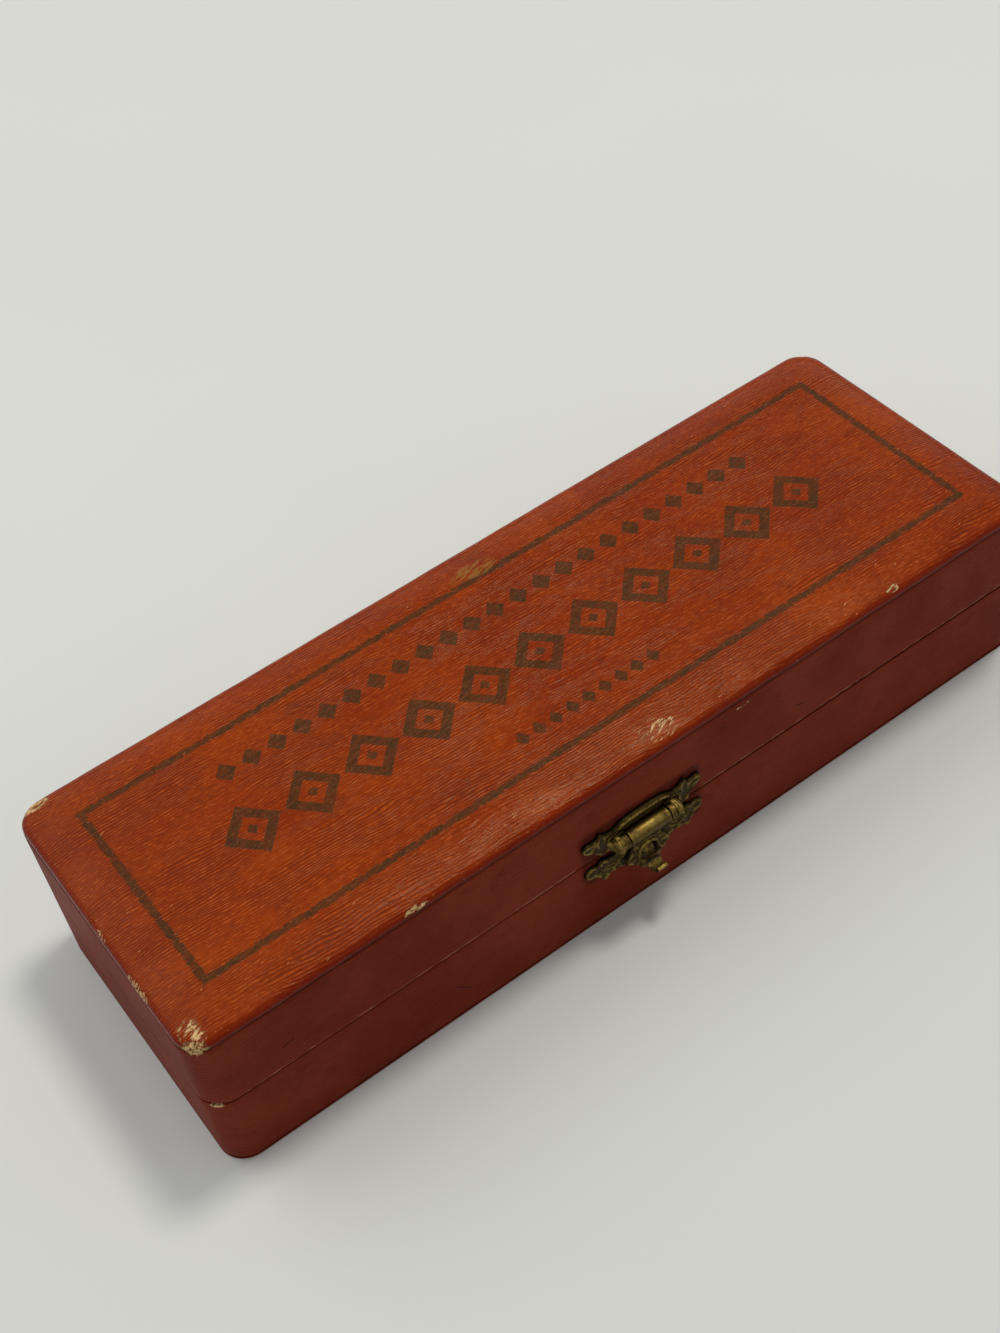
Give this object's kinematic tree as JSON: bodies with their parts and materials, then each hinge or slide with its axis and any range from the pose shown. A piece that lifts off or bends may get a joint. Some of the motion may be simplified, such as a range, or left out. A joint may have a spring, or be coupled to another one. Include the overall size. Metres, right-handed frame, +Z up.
{
  "type": "harmonica case",
  "caption": "Long covered wooden case with a domed, hinged lid and an ornamental hasp latch on its front, lined and padded for a mouth organ.",
  "frame": {"origin": "centre of the case's flat underside", "axes": "+X along the case to the right as seen from the latch, +Y from the latch to the hinges, +Z up"},
  "size_m": [0.16, 0.0629, 0.033],
  "materials": {
    "wood": "raw, fine-grained",
    "top_covering": "orange-red grained paper covering, satin",
    "side_covering": "dark red grained paper covering, satin",
    "lining_cloth": "short-pile wine-red cloth",
    "pad_cloth": "wine-red velvet",
    "aged_brass": "antique brass with dark patina",
    "pin_steel": "dull, tarnished"
  },
  "bodies": {
    "base": {"base_front_wall": "wood", "base_back_wall": "wood", "base_left_wall": "wood", "base_right_wall": "wood", "bottom_board": "wood", "bottom_cover": "side_covering", "base_cover": "side_covering", "base_lining": "lining_cloth", "base_pad": "pad_cloth", "catch_plate": "aged_brass", "catch_plate_nails": "aged_brass", "hinge_base_leaf_left": "aged_brass", "hinge_base_leaf_right": "aged_brass", "hinge_pin_left": "pin_steel", "hinge_pin_right": "pin_steel", "base_hinge_nails": "aged_brass"},
    "lid": {"lid_front_wall": "wood", "lid_back_wall": "wood", "lid_left_wall": "wood", "lid_right_wall": "wood", "lid_board": "wood", "lid_top_cover": "top_covering", "lid_side_cover": "side_covering", "lid_lining": "lining_cloth", "lid_pad": "pad_cloth", "hasp_plate": "aged_brass", "hasp_plate_nails": "aged_brass", "hasp_pin": "pin_steel", "hinge_lid_leaf_left": "aged_brass", "hinge_lid_leaf_right": "aged_brass", "lid_hinge_nails": "aged_brass"},
    "hasp": {"hasp": "aged_brass"}
  },
  "joints": [
    {"name": "lid_hinge", "type": "hinge", "parent": "base", "child": "lid", "pos_m": [0, 0.02895, 0.016], "axis": [-1, 0, 0], "range_deg": [0, 165]},
    {"name": "hasp_hinge", "type": "hinge", "parent": "lid", "child": "hasp", "pos_m": [-0.0024, -0.02915, 0.0181], "axis": [-1, 0, 0], "range_deg": [0, 165]}
  ]
}
